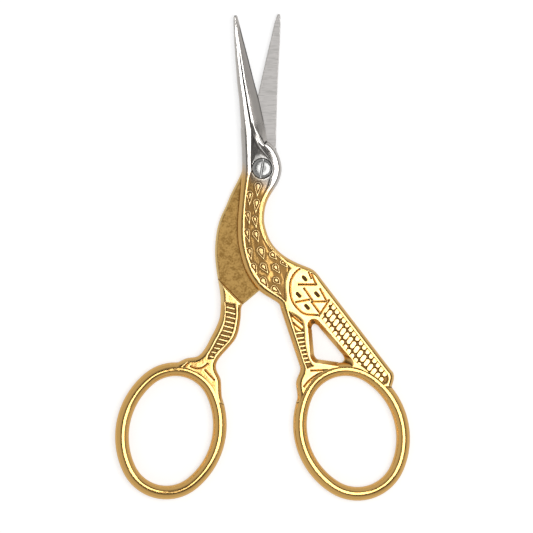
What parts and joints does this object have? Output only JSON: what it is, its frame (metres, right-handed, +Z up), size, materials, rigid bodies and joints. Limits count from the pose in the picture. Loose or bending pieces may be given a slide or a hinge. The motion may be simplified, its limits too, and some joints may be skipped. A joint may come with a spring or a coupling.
{
  "type": "embroidery scissors",
  "caption": "Small open scissors shaped like a stork: bill blades, pivot screw, patterned body, legs and oval finger rings.",
  "frame": {"origin": "on the pivot axis, in the plane that the scissors rest on", "axes": "+Z up from the resting plane towards the screw's head, +Y towards the tips, +X towards the ring of the front half"},
  "size_m": [0.0531, 0.0877, 0.0028],
  "materials": {
    "gold_plated_steel": "gold plated and polished on the handles, bare ground steel on the blades",
    "bare_steel": "polished steel"
  },
  "bodies": {
    "rear": {"rear_half": "gold_plated_steel", "pivot_screw": "bare_steel"},
    "front": {"front_half": "gold_plated_steel"}
  },
  "joints": [
    {"name": "pivot", "type": "hinge", "parent": "rear", "child": "front", "pos_m": [0, 0, 0.00125], "axis": [0, 0, 1], "range_deg": [-14.2, 45]}
  ]
}
